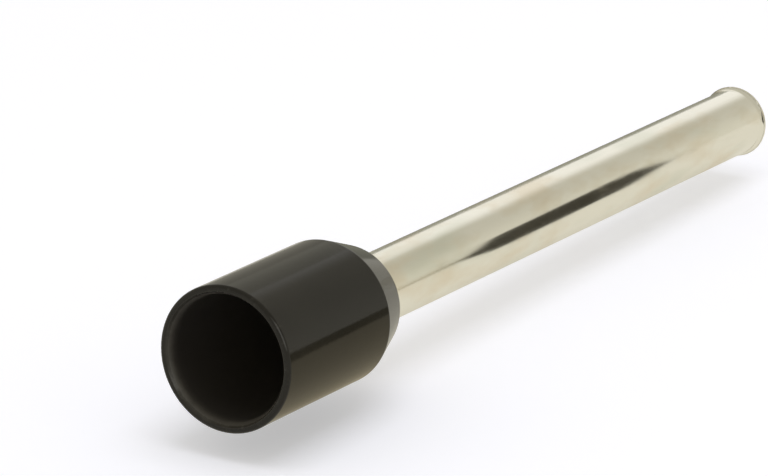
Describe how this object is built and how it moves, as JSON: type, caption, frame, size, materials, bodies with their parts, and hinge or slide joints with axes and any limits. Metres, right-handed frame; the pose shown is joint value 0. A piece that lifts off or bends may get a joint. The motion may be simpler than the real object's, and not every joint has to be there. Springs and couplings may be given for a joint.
{
  "type": "wire ferrule",
  "caption": "Insulated wire ferrule: a thin tinned copper sleeve with a lipped tip, held by its hidden bell in a black moulded collar with a funnelled wire entry.",
  "frame": {"origin": "centre of the mouth, in the plane of the collar's rim, on which the ferrule stands", "axes": "+Z along the ferrule's axis, from the mouth of the collar to the open tip of the sleeve; X and Y are alike"},
  "size_m": [0.0036, 0.0034, 0.0245],
  "materials": {
    "black_plastic": "smooth moulded polypropylene with a soft gloss",
    "tinned_copper": "bright tin plating on drawn copper, warm silver"
  },
  "bodies": {
    "root": {"insulating_collar": "black_plastic", "metal_sleeve": "tinned_copper"}
  },
  "joints": []
}
